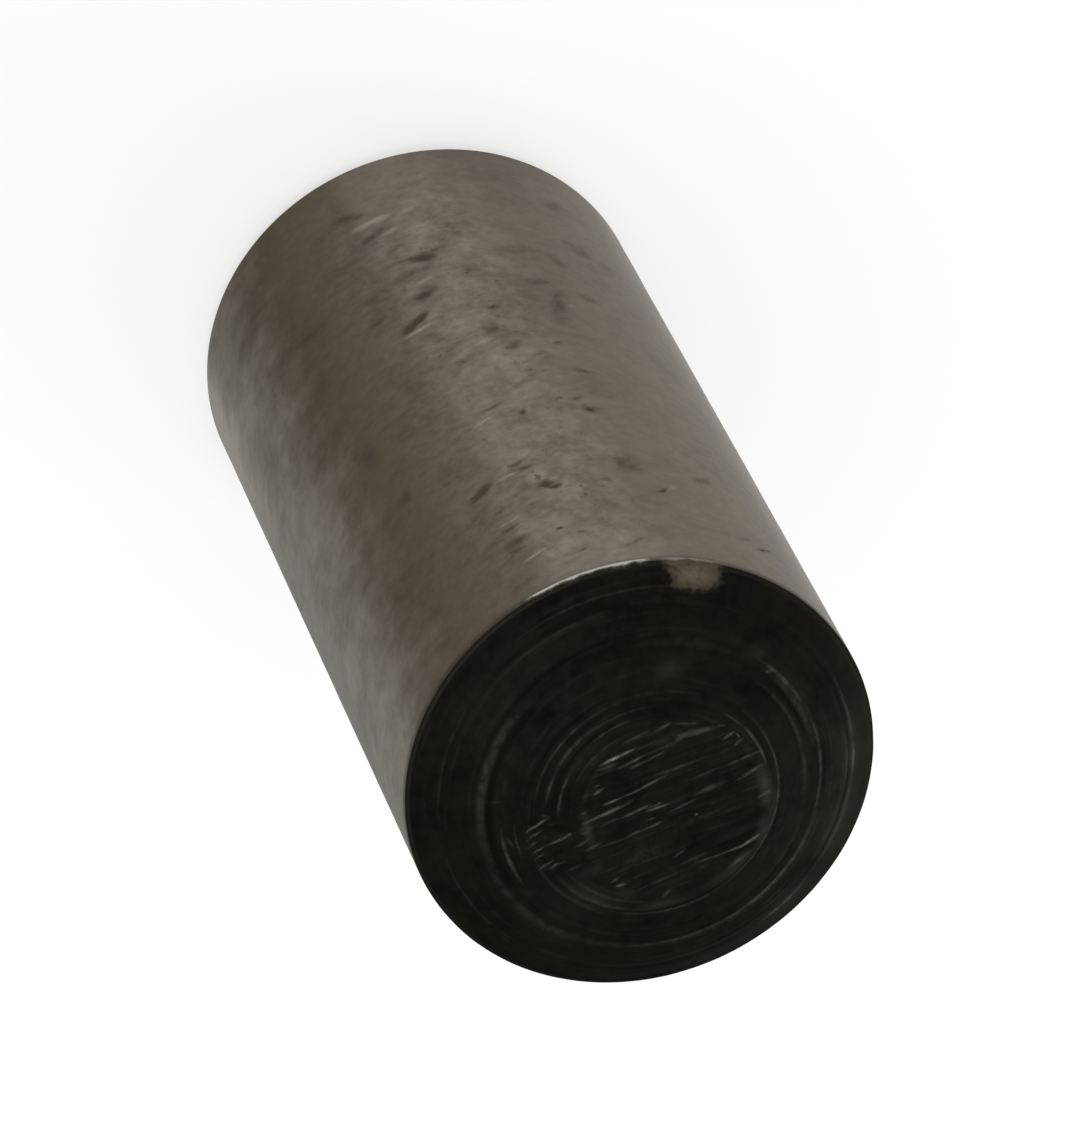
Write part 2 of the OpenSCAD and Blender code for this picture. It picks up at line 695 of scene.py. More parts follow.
    torn = (
        Score((-2.64, 0.38), (-2.25, 0.55), 0.047, 4.9),
        Score((-2.7, 0.16), (-2.42, 0.3), 0.039, 3.1),
        Score((-2.75, -0.02), (-2.55, 0.06), 0.039, 1.8),
        Score((-2.32, -0.05), (-1.84, 0.08), 0.043, 3.8),
        Score((-2.66, -0.18), (-2.46, -0.08), 0.039, 2.2),
        Score((-2.68, -0.34), (-2.52, -0.27), 0.039, 1.7),
        Score((-2.66, -0.6), (-2.4, -0.49), 0.043, 2.9),
        Score((-2.44, -0.64), (-2.18, -0.55), 0.047, 2.7),
        Score((-1.82, -0.25), (-1.56, -0.16), 0.047, 1.7),
        Score((-1.66, -0.4), (-1.34, -0.36), 0.055, 1.5),
        Score((-2.1, -0.78), (-1.8, -0.7), 0.062, 0.8),
        Score((-1.64, 0.02), (-1.5, 0.0), 0.043, 1.5),
        Score((-2.3, 0.66), (-2.16, 0.6), 0.055, 0.8),
        Score((-3.1, 0.3), (-3.04, 0.06), 0.039, 1.1),
        Score((-2.98, 0.05), (-2.92, 0.01), 0.035, 1.4),
        Score((3.02, 1.8), (3.12, 1.74), 0.047, 1.5),
        Score((-3.28, 1.18), (-2.95, 1.15), 0.039, 0.7),
    )
    patches = (
        Patch((-1.5, 0.05), (0.16, 0.75), -4.0, 1.0),
        Patch((-1.75, -0.95), (0.45, 0.28), 10.0, 0.7),
        Patch((-1.2, -1.75), (0.45, 0.2), -40.0, 0.7),
        Patch((2.28, -0.6), (0.24, 0.9), -4.0, 1.6),
        Patch((1.98, -1.5), (0.22, 0.6), -32.0, 1.3),
        Patch((1.35, -2.02), (0.5, 0.14), 24.0, 1.2),
        Patch((2.15, 0.45), (0.14, 0.4), 6.0, 0.6),
        Patch((1.12, 2.78), (0.5, 0.32), -8.0, 0.5),
        Patch((2.95, 2.25), (0.45, 0.28), -20.0, 0.5),
        Patch((3.55, -2.55), (0.55, 1.3), -36.0, 1.0),
        Patch((4.25, -1.0), (0.45, 1.4), -14.0, 0.4),
        Patch((2.2, -3.9), (0.9, 0.35), 30.0, 0.7),
        Patch((-2.6, -1.9), (0.9, 1.5), 30.0, 0.3),
        Patch((0.9, -2.25), (0.8, 0.18), 12.0, 0.5),
        Patch((-1.85, -1.55), (0.45, 0.9), 40.0, 0.9),
        Patch((-0.5, -2.38), (0.9, 0.2), -8.0, 0.8),
    )
    # Painted shadows beside the saw scores.
    painted_shadows = (
        Patch((0.1, 1.19), (0.45, 0.035), 3.0, 0.5),
        Patch((0.05, 1.4), (0.45, 0.04), 0.0, 0.4),
        Patch((1.3, -1.82), (0.65, 0.075), 3.0, 0.5),
        Patch((1.05, -1.5), (0.8, 0.05), 0.0, 0.4),
        Patch((-1.28, -1.43), (0.18, 0.05), -8.0, 0.6),
        Patch((1.8, -3.72), (0.6, 0.06), 24.0, 0.4),
        Patch((2.05, 0.15), (0.3, 0.08), 0.0, 0.4),
        Patch((-2.1, 0.25), (0.3, 0.14), 20.0, 0.5),
        Patch((-2.2, -0.3), (0.3, 0.09), 20.0, 0.5),
        Patch((0.8, 1.05), (0.7, 0.13), 0.0, 0.3),
    )

    def __init__(self, graph: Graph, spot: Spot, dome: Dome) -> None:
        """Works out the places that the marks share.

        Args:
            graph: The tree that the marks are drawn in.
            spot: The point that is looked at.
            dome: The crown's form.
        """
        self.graph = graph
        self.spot = spot
        self.inside = dome.sawn_mask(spot)
        self.sawn = graph.turned(spot.flat, -self.saw_way)

    def saw_grain(self) -> Wire:
        """Grooves of the saw, as noise drawn out along its way."""
        return self.graph.noise(self.sawn, (0.55, 5.5, 1.0), 3.0, 0.65)

    def turned_grain(self) -> Wire:
        """Fine tool rings, as noise that changes quickly with the radius and slowly around it."""
        slow = self.graph.vectors("SCALE", self.spot.outward, scale=1.6)
        place = self.graph.vectors("ADD", slow, self.graph.vector(0.0, 0.0, self.spot.radius * 9.0))
        return self.graph.noise(place, (1.0, 1.0, 1.0), 3.0, 0.6)

    def ovals(self, place: Wire, marks: Sequence[Arc | Score | Patch], crisp: float) -> Wire:
        """Sum of the masks of oval marks, each times its shine.

        Args:
            place: Where they are read, along and across the saw's way or around and out.
            marks: The arcs, scores or patches.
            crisp: Nearness to an oval's middle, from 0 to 1, at which its mask is full.

        Returns:
            The sum.
        """
        total: Value = 0.0
        for mark in marks:
            near = self.graph.in_oval(place, mark.middle, mark.halves, mark.tilt)
            total = near.fade(0.0, crisp).math("MULTIPLY_ADD", mark.shine, total)
        return total

    def depth(self) -> Wire:
        """Depth of all marks below the dome or the flat, in millimetres."""
        radius = self.spot.radius
        ramp = (radius - self.step_inner) / (self.step_outer - self.step_inner)
        wall = radius.fade(self.step_outer + 0.10, self.step_outer - 0.04)
        turned = (ramp | 0.0) * wall * self.step_depth
        for ring, deep in self.grooves:
            turned = turned + self.spot.band(ring, self.groove_half) * deep
        turned = turned + self.turned_grain().over(self.noise_floor) * self.grain_depth
        off_pole = radius.fade(0.1, 0.7)
        sawn = self.saw_grain().over(self.noise_floor) * off_pole * self.saw_depth
        patch = self.graph.in_oval(self.sawn, *self.torn_place).fade(0.0, 0.4)
        lumps = self.graph.noise(self.sawn, (2.2, 5.5, 1.0), 2.0, 0.6, (3.0, 5.0, 0.0))
        torn = lumps.over(self.torn_floor) * patch * self.torn_depth
        return turned * (1.0 - self.inside) + sawn * self.inside + torn

    def around(self) -> Wire:
        """Place of the point around and out: turn from opposite the seam, in degrees, and radius."""
        away = self.graph.turned(self.spot.flat, 180.0 - SEAM_WAY - self.saw_way)
        x, y, _ = self.graph.parts(away)
        return self.graph.vector(self.graph.azimuth(x, y), self.spot.radius, 0.0)

    def ring_shine(self, around: Wire) -> Wire:
        """How light the tool rings are, as turned lines with painted highlight, where 1 is a faint line.
        """
        return self.ovals(around, self.arcs, self.crisp_line) * (1.0 - self.inside)

    def ring_shade(self, around: Wire) -> Wire:
        """How dark the painted shade beside the tool rings is, from 0 to 1."""
        return self.ovals(around, self.shadows, self.crisp_line) * (1.0 - self.inside)

    def score_shine(self) -> Wire:
        """How light the scores of the saw are, where 1 is a faint line."""
        scores = self.ovals(self.sawn, self.scores, self.crisp_line) * self.inside
        return scores + self.ovals(self.sawn, self.torn, self.crisp_line)

    def haze(self) -> Wire:
        """How light the soft patches are, where 1 is a faint patch."""
        return self.ovals(self.sawn, self.patches, self.crisp_patch)

    def furrow_shadow(self) -> Wire:
        """How dark the painted shadows beside the scores are, from 0 to 1."""
        return self.ovals(self.sawn, self.painted_shadows, self.crisp_shadow)


class LandMarks:
    """The dark pits and smudges, light scuffs and grinding streaks on the land."""

    spread = 1.9
    pit_depth = 0.05
    smudge_floor = 0.35
    smudge_depth = 0.015
    rough_strip = Stretch(-98.0, 10.0, 16.0)
    dark = (
        Pit(-87.5, 17.7, (0.36, 0.15), 0.75, -32.0),
        Pit(-91.0, 16.45, (0.38, 0.14), 0.75, 30.0),
        Pit(-95.0, 15.55, (0.3, 0.12), 0.6, 40.0),
        Pit(-94.0, 15.15, (0.2, 0.1), 0.5, -30.0),
        Pit(-100.5, 14.78, (0.24, 0.17), 1.2),
        Pit(-96.0, 14.9, (0.5, 0.07), 0.7),
        Pit(-103.5, 14.95, (0.28, 0.09), 0.7, 15.0),
        Pit(-95.5, 14.22, (0.6, 0.24), 0.5, 8.0),
        Pit(-84.0, 14.0, (0.22, 0.16), 0.45),
        Pit(-95.5, 13.2, (0.34, 0.2), 0.85, 12.0),
        Pit(-82.0, 13.05, (0.18, 0.12), 0.7, -20.0),
        Pit(-91.0, 12.25, (0.32, 0.12), 1.3, 33.0),
        Pit(-110.5, 11.9, (0.16, 0.1), 0.8, 20.0),
        Pit(-93.8, 11.2, (0.22, 0.13), 0.5, -40.0),
        Pit(-85.2, 11.4, (0.16, 0.09), 0.45),
        Pit(-107.8, 10.9, (0.28, 0.19), 0.75, 30.0),
        Pit(-97.3, 9.9, (0.22, 0.12), 0.55, 35.0),
        Pit(-109.5, 9.95, (0.32, 0.14), 0.55, 35.0),
        Pit(-115.0, 9.5, (0.18, 0.12), 0.6),
        Pit(-94.0, 9.5, (0.12, 0.15), 0.45),
        Pit(-106.5, 8.25, (0.34, 0.1), 0.45, 30.0),
        Pit(-99.0, 7.68, (0.24, 0.06), 0.65, 15.0),
        Pit(-104.5, 7.1, (0.07, 0.09), 0.8),
        Pit(-106.0, 6.7, (0.24, 0.13), 0.45, 15.0),
        Pit(-118.5, 7.35, (0.16, 0.08), 0.6, 35.0),
        Pit(-120.5, 6.85, (0.18, 0.18), 0.8, 20.0),
        Pit(-98.0, 5.15, (0.24, 0.1), 0.65, 25.0),
        Pit(-98.5, 4.87, (0.22, 0.08), 0.8, 5.0),
        Pit(-86.5, 4.72, (0.3, 0.11), 1.25, 32.0),
        Pit(-101.2, 3.98, (0.18, 0.13), 1.2, 10.0),
        Pit(-102.9, 3.82, (0.13, 0.08), 1.1, -10.0),
        Pit(-104.0, 3.47, (0.13, 0.05), 0.65, 15.0),
        Pit(-88.0, 3.65, (0.45, 0.12), 0.5, 5.0),
        Pit(-95.0, 3.4, (0.26, 0.08), 0.5),
        Pit(-88.5, 2.85, (0.26, 0.07), 0.7, 12.0),
        Pit(-89.0, 2.3, (0.24, 0.15), 0.8),
        Pit(-88.5, 1.97, (0.22, 0.07), 0.7),
        Pit(-84.5, 1.78, (0.32, 0.06), 0.55, 30.0),
        Pit(-99.5, 2.1, (0.08, 0.05), 0.85),
        Pit(-103.5, 1.7, (0.12, 0.08), 0.6),
        Pit(-101.5, 1.0, (0.22, 0.05), 0.6, 15.0),
        Pit(-86.0, 0.7, (0.28, 0.12), 0.5, 15.0),
        Pit(-114.5, 0.92, (0.26, 0.06), 0.6, 35.0),
        Pit(-128.0, 3.2, (0.15, 0.05), 1.1, 40.0),
        Pit(-145.0, 1.75, (0.2, 0.08), 0.6, 40.0),
        Pit(-137.0, 12.5, (0.26, 0.18), 0.58, 20.0),
        Pit(-127.0, 11.9, (0.22, 0.75), 0.6, -8.0),
        Pit(-124.5, 12.95, (0.34, 0.13), 0.56),
        Pit(-134.0, 14.15, (0.3, 0.22), 0.52, -30.0),
        Pit(-124.0, 14.5, (0.42, 0.17), 0.5),
        Pit(-121.5, 10.0, (0.16, 0.07), 0.6, 25.0),
        Pit(-124.5, 8.65, (0.28, 0.11), 0.6),
        Pit(-121.5, 4.4, (0.34, 0.44), 0.65, 20.0),
        Pit(-142.0, 4.2, (0.36, 0.12), 0.48, 40.0),
        Pit(-150.5, 1.7, (0.3, 0.04), 0.65, 40.0),
        Pit(-144.0, 15.3, (0.4, 0.32), 0.48),
        Pit(-143.0, 17.5, (0.32, 0.27), 0.5, 30.0),
        Pit(-151.0, 14.9, (0.38, 0.22), 0.46, 40.0),
        Pit(-65.5, 8.85, (0.16, 0.38), 0.85),
        Pit(-62.0, 9.25, (0.14, 0.08), 0.6, -30.0),
        Pit(-69.0, 6.45, (0.16, 0.3), 0.85),
        Pit(-64.5, 14.7, (0.52, 0.19), 0.75, -20.0),
        Pit(-63.0, 12.75, (0.26, 0.33), 0.7),
        Pit(-66.5, 13.4, (0.12, 0.08), 0.6),
        Pit(-70.5, 12.5, (0.12, 0.06), 0.6),
        Pit(-70.0, 9.8, (0.25, 0.05), 0.5),
        Pit(-69.0, 3.85, (0.16, 0.12), 0.55),
        Pit(-62.0, 4.2, (0.32, 0.07), 0.65, -8.0),
        Pit(-61.5, 2.15, (0.32, 0.13), 0.7),
        Pit(-54.0, 10.3, (0.4, 0.25), 0.35),
        Pit(-50.0, 7.8, (0.3, 0.2), 0.35, 20.0),
        Pit(48.0, 6.2, (0.22, 0.15), 0.7, 15.0),
        Pit(95.0, 12.5, (0.18, 0.14), 0.7, -20.0),
        Pit(140.0, 4.1, (0.14, 0.12), 0.8),
        Pit(20.0, 14.3, (0.28, 0.16), 0.5, 10.0),
    )
    light = (
        Pit(-92.8, 17.05, (0.34, 0.13), 1.1),
        Pit(-102.0, 17.0, (0.22, 0.12), 1.0, 25.0),
        Pit(-96.3, 16.35, (0.24, 0.1), 0.8, 15.0),
        Pit(-100.0, 16.2, (0.7, 0.6), 0.45),
        Pit(-97.5, 13.75, (0.34, 0.08), 0.7, 15.0),
        Pit(-91.5, 11.88, (0.32, 0.07), 1.0, 12.0),
        Pit(-95.5, 12.2, (0.16, 0.2), 0.6),
        Pit(-103.0, 10.4, (0.32, 0.12), 0.8, 20.0),
        Pit(-97.0, 9.2, (0.5, 0.5), 0.45),
        Pit(-95.0, 7.24, (0.22, 0.04), 0.9, 20.0),
        Pit(-95.0, 4.8, (0.24, 0.05), 0.9, 10.0),
        Pit(-103.3, 4.08, (0.11, 0.08), 1.1),
        Pit(-101.0, 4.4, (0.4, 0.3), 0.5),
        Pit(-89.0, 3.1, (0.26, 0.04), 0.7),
        Pit(-94.5, 2.5, (0.4, 0.25), 0.5),
        Pit(-91.0, 1.48, (0.28, 0.04), 0.9, 15.0),
        Pit(-98.5, 1.35, (0.5, 0.3), 0.5),
        Pit(-130.0, 3.3, (0.4, 0.07), 0.5, 40.0),
    )

    def __init__(self, graph: Graph, spot: Spot, land_r: float, rim_z: float) -> None:
        """Works out the places that the marks share.

        Args:
            graph: The tree that the marks are drawn in.
            spot: The point that is looked at.
            land_r: Radius of the land, in millimetres.
            rim_z: Height of the rim, in millimetres.
        """
        self.graph = graph
        self.spot = spot
        self.land_r = land_r
        self.turn = spot.turn()
        self.place = graph.vector(self.turn * math.radians(land_r), spot.z - rim_z, 0.0)
        off_ends = spot.z.fade(1.0, 4.0) * (1.0 - spot.z.fade(17.0, 20.0) * 0.5)
        self.rough = spot.window(self.rough_strip) * off_ends

    def field(self, marks: Sequence[Pit]) -> Wire:
        """How near a point is to the middle of the nearest mark, up to the mark's strength.

        Args:
            marks: The pits or scuffs.

        Returns:
            The nearness, which is 0 well outside of the marks.
        """
        total: Value = 0.0
        for mark in marks:
            middle = (math.radians(mark.turn) * self.land_r, -mark.down)
            reach = (self.spread * mark.halves[0], self.spread * mark.halves[1])
            total = self.graph.in_oval(self.place, middle, reach, mark.tilt) * mark.strength | total
        return total

    def scuffs(self) -> Wire:
        """Nearness of the light scuffs."""
        return self.field(self.light)

    def pits(self) -> Wire:
        """Nearness of the dark pits and smudges."""
        return self.field(self.dark)

    def fine(self) -> Wire:
        """Fine grain of the ground surface, around 0.5."""
        return self.graph.noise(self.spot.point, (4.0, 4.0, 4.5), 2.0, 0.6, (5.0, 1.0, 2.0))

    def broad(self) -> Wire:
        """Smudges of a few tenths of a millimetre, around 0.5."""
        return self.graph.noise(self.spot.point, (1.5, 1.5, 1.3), 3.0, 0.6)

    def clouds(self) -> Wire:
        """Broad smoky patches, around 0.5."""
        return self.graph.noise(self.spot.point, (0.42, 0.42, 0.45), 2.0, 0.5, (2.0, 9.0, 4.0))

    def ragged(self) -> Wire:
        """Unevenness of the edges of pits and scuffs, around 0.5."""
        return self.graph.noise(self.spot.point, (2.6, 2.6, 2.7), 3.0, 0.65, (1.0, 6.0, 8.0))

    def depth(self) -> Wire:
        """Depth of the pits and streaks below the land, in millimetres."""
        pits = self.graph.stored(Stored.PITS).fade(0.1, 1.0) * self.pit_depth
        return pits + self.broad().over(self.smudge_floor) * self.smudge_depth


def new_material(name: str) -> tuple[bpy.types.Material, Graph, bpy.types.Node]:
    """Makes a material with nothing in its node tree but its shader and output.

    Args:
        name: The material's name.

    Returns:
        The material, its graph and its Principled shader.
    """
    material = bpy.data.materials.new(name)
    material.use_nodes = True
    shader = next(n for n in material.node_tree.nodes if n.type == "BSDF_PRINCIPLED")
    return material, Graph(material.node_tree), shader


def bumped(graph: Graph, height: Wire) -> Wire:
    """Normal that shows a height given in millimetres."""
    inputs = {"Strength": 1.0, "Distance": MM, "Height": height}
    return graph.node("ShaderNodeBump", None, inputs)


@dataclass(frozen=True)
class LandSteel:
    """Ground steel gone dull: warm grey with bands of painted reflection around the pin, a brown strip
    along one side that is partly patina and partly painted reflection, pits and grinding streaks.
    """

    land_r: float
    rim_z: float
    roughness: float = 0.5
    grain_height: float = 0.008
    # Painted sheen: the side around -2 degrees is drawn lighter towards the foot.
    foot_sheen: Stretch = Stretch(-2.0, 2.0, 28.0)
    # Stretch where the rubbed rim carries a painted highlight.
    glint_rim: Stretch = Stretch(-100.0, 13.0, 3.0)
    spotted_rim: Stretch = Stretch(-126.0, 5.0, 4.0)
    edge_tint: Colour = (0.45, 0.45, 0.45, 1.0)
    pit: Colour = paint(77, 70, 62)
    scuff: Colour = paint(158, 150, 139)
    # Dark edge colour, which carries the crown's painted shade over the rim break.
    edge: Colour = paint(30, 28, 24)
    rubbed: Colour = paint(82, 73, 62)
    # Colour of the painted highlight on the rubbed rim.
    silver_glint: Colour = paint(174, 175, 171)
    # Tone by azimuth: the steel's grey with painted reflection, lighter from 160 through 180 to -150
    # degrees and around -20 degrees, and a brown strip from -86 to -55 degrees that is partly patina and
    # partly painted reflection.
    tone_and_sheen: tuple[tuple[float, Colour], ...] = (
        (-180.0, paint(168, 164, 157)),
        (-169.0, paint(161, 157, 150)),
        (-161.0, paint(147, 142, 134)),
        (-155.0, paint(140, 134, 125)),
        (-150.0, paint(136, 129, 119)),
        (-141.0, paint(129, 122, 112)),
        (-131.0, paint(121, 114, 104)),
        (-123.0, paint(118, 111, 101)),
        (-113.0, paint(122, 115, 105)),
        (-103.0, paint(127, 120, 109)),
        (-96.0, paint(121, 114, 104)),
        (-91.5, paint(118, 111, 101)),
        (-86.5, paint(101, 94, 83)),
        (-79.0, paint(99, 91, 79)),
        (-69.0, paint(92, 84, 72)),
        (-62.0, paint(89, 81, 70)),
        (-55.0, paint(96, 89, 79)),
        (-47.0, paint(110, 104, 95)),
        (-41.0, paint(121, 116, 106)),
        (-31.0, paint(130, 126, 117)),
        (-20.0, paint(137, 134, 126)),
        (-10.0, paint(127, 125, 118)),
        (30.0, paint(126, 122, 114)),
        (90.0, paint(122, 118, 110)),
        (135.0, paint(128, 124, 116)),
        (160.0, paint(142, 138, 131)),
        (172.0, paint(159, 155, 148)),
        (180.0, paint(168, 164, 157)),
    )

    def make(self) -> bpy.types.Material:
        """Builds the material."""
        material, graph, shader = new_material("land_steel")
        spot = Spot(graph, graph.node("ShaderNodeTexCoord", out="Object"))
        marks = LandMarks(graph, spot, self.land_r, self.rim_z)
        fine, ragged = marks.fine(), marks.ragged()
        colour = self.ground(graph, marks, fine)
        scuffed = marks.scuffs() + ragged.swing(1.2)
        colour = graph.mix(colour, self.scuff, scuffed.fade(0.1, 1.0) * 0.7)
        specks = ragged.fade(0.60, 0.74) * (0.15 + 0.6 * marks.rough)
        pits = marks.pits()
        pitted = (pits + ragged.swing(0.7 + 1.2 * pits)).fade(0.05, 0.95)
        colour = graph.mix(colour, self.pit, specks | pitted)
        inputs = {
            "Base Color": self.rim_edge(graph, spot, ragged, colour),
            "Metallic": 1.0,
            "Roughness": self.roughness - fine.swing(0.2),
            "Specular Tint": self.edge_tint,
            "Normal": bumped(graph, fine * -self.grain_height),
        }
        graph.feed_all(shader, inputs)
        return material

    def ground(self, graph: Graph, marks: LandMarks, fine: Wire) -> Wire:
        """The ground steel's colour: its tone around the pin with its painted reflection, and a painted
        sheen near the foot, made uneven by noise.

        Args:
            graph: The material's graph.
            marks: The land's marks and noises.
            fine: The fine grain.

        Returns:
            The colour.
        """
        broad, clouds = marks.broad(), marks.clouds()
        turn = marks.turn + (broad.swing(16.0) + clouds.swing(16.0))
        stops = [((turned + 180.0) / 360.0, colour) for turned, colour in self.tone_and_sheen]
        # The tone around the pin, with its painted reflection.
        tone = graph.ramp(((turn + 180.0) / 360.0).math("FRACT"), stops)
        lift = 1.0 + 1.2 * marks.rough
        gain = 1.0 + (fine.swing(0.3) + broad.swing(0.5)) * lift + clouds.swing(0.45)
        # Painted sheen near the foot on the side around -2 degrees.
        foot_sheen = marks.spot.window(self.foot_sheen) * marks.spot.z.fade(9.0, 1.0)
        return graph.vectors("SCALE", tone, scale=gain * (0.96 + foot_sheen * 0.6))

    def rim_edge(self, graph: Graph, spot: Spot, ragged: Wire, colour: Wire) -> Wire:
        """Adds the dark edge beside the crown, which is darker towards the rim and carries the crown's
        painted shade over the rim break, and the brown line where the rim is rubbed bare, with a painted
        highlight along it.

        Args:
            graph: The material's graph.
            spot: The point that is looked at.
            ragged: Noise around 0.5 for uneven edges.
            colour: The land's colour.

        Returns:
            The colour with the edge and the line.
        """
        below = self.rim_z - spot.z
        # Darker towards the rim, and at the rim break the crown's painted shade.
        dark = (below.fade(0.30, 0.0) * 0.65) | below.fade(0.09, 0.04)
        colour = graph.mix(colour, self.edge, dark)
        torn = below + ragged.swing(0.2)
        bright, spotted = spot.window(self.glint_rim), spot.window(self.spotted_rim)
        rubbed = (torn + spotted * 0.07).fade(0.0, 0.07) * below.fade(0.14, 0.09)
        colour = graph.mix(colour, self.rubbed, rubbed * (bright | spotted) * 0.8)
        # Painted highlight along the rubbed rim.
        line = below.fade(0.16, 0.12) * torn.fade(0.04, 0.09)
        return graph.mix(colour, self.silver_glint, line * (bright | (spotted * ragged * 0.6)))


@dataclass(frozen=True)
class CrownSteel:
    """Turned and sawn steel painted near-black as painted shade, lighter where the tool and the saw scored
    it.
    """

    dome: Dome
    roughness: float = 0.45
    # Stretches where the crown is drawn lighter or darker: painted light on the lit side, painted shade on
    # the other two.
    lit_side: Stretch = Stretch(134.0, 15.0, 60.0)
    painted_shade_side: Stretch = Stretch(-70.0, 30.0, 40.0)
    painted_shade_ring: Stretch = Stretch(149.0, 45.0, 30.0)
    worn_place: tuple[Place, Place, float] = ((2.27, 4.18), (0.80, 0.40), -27.0)
    edge_tint: Colour = (0.5, 0.5, 0.5, 1.0)
    # The near-black ground colours are painted shade: the crown is the same steel as the land.
    ground: Colour = paint(20, 19, 18)
    olive: Colour = paint(20, 19, 16)
    mark: Colour = (0.0105, 0.0100, 0.0086, 1.0)
    shadow_colour: Colour = paint(9, 9, 8)
    worn: Colour = paint(88, 79, 67)

    def make(self) -> bpy.types.Material:
        """Builds the material."""
        material, graph, shader = new_material("crown_steel")
        spot = Spot(graph, graph.node("ShaderNodeTexCoord", out="Object"))
        marks = CrownMarks(graph, spot, self.dome)
        clouds = graph.noise(spot.point, (0.9, 0.9, 0.9), 3.0, 0.65)
        crumbs = graph.noise(spot.point, (4.0, 4.0, 4.0), 2.0, 0.6)
        turned = marks.turned_grain()
        grain = turned * (1.0 - marks.inside) + marks.saw_grain() * marks.inside
        around = marks.around()
        broken = 0.45 + crumbs.fade(0.3, 0.65)
        grain_shine = grain.fade(0.48, 0.8) * (0.28 + 0.45 * marks.inside)
        # Light lines: tool rings with painted highlight, saw scores and fine grain.
        lines = marks.ring_shine(around) + marks.score_shine() + grain_shine
        shine = lines * broken + graph.stored(Stored.HAZE) * (0.5 + clouds)
        shown = graph.vectors("SCALE", self.mark, scale=shine)
        colour = graph.vectors("ADD", self.plain(graph, marks, clouds, crumbs), shown)
        # Painted shadows beside the saw scores and the tool rings.
        painted_shadows = (marks.furrow_shadow() + marks.ring_shade(around)) & 0.9
        colour = graph.mix(colour, self.shadow_colour, painted_shadows)
        inputs = {
            "Base Color": self.worn_spot(graph, marks, turned, crumbs, colour),
            "Metallic": 1.0,
            "Roughness": self.roughness,
            "Specular Tint": self.edge_tint,
        }
        graph.feed_all(shader, inputs)
        return material

    def plain(self, graph: Graph, marks: CrownMarks, clouds: Wire, crumbs: Wire) -> Wire:
        """The unmarked steel's colour: its near-black painted shade, lighter on the painted lit side near
        the rim and darker on the painted shade side and ring, made uneven by noise.

        Args:
            graph: The material's graph.
            marks: The crown's marks.
            clouds: Broad noise.
            crumbs: Fine noise.

        Returns:
            The colour.
        """
        spot = marks.spot
        # Painted light and shade: lighter near the rim around 134 degrees, darker around -70 degrees and
        # on the middle ring around 149 degrees.
        lit_side = spot.window(self.lit_side) * spot.radius.fade(4.0, 4.9)
        painted_shade_side = spot.window(self.painted_shade_side) * (1.0 - marks.inside)
        painted_shade_ring = spot.window(self.painted_shade_ring) * spot.band(3.0, 0.6)
        level = 1.52 * clouds + 0.55 * crumbs + 0.7 * lit_side - 0.12 * marks.inside
        level = level - painted_shade_side * 0.2 - painted_shade_ring * 0.15
        ground = graph.mix(self.ground, self.olive, clouds.fade(0.4, 0.55))
        return graph.vectors("SCALE", ground, scale=level)

    def worn_spot(
        self, graph: Graph, marks: CrownMarks, turned: Wire, crumbs: Wire, colour: Wire
    ) -> Wire:
        """Adds the tan spot beside the rim, where the crown's painted near-black gives way to a rubbed tan
        patch.

        Args:
            graph: The material's graph.
            marks: The crown's marks.
            turned: The turning grain.
            crumbs: Fine noise.
            colour: The crown's colour.

        Returns:
            The colour with the spot.
        """
        bare = graph.in_oval(marks.sawn, *self.worn_place)
        streaks = turned + crumbs - 1.0
        streaked = graph.vectors("SCALE", self.worn, scale=1.0 + 1.5 * streaks)
        uneven = bare - (crumbs - 0.5) - streaks * 0.5
        return graph.mix(colour, streaked, uneven.fade(0.0, 0.8) * bare.fade(0.0, 0.25))


class Zone(Enum):
    """The pin's surfaces that have a finish of their own, by material slot."""

    LAND = 0
    CROWN = 1


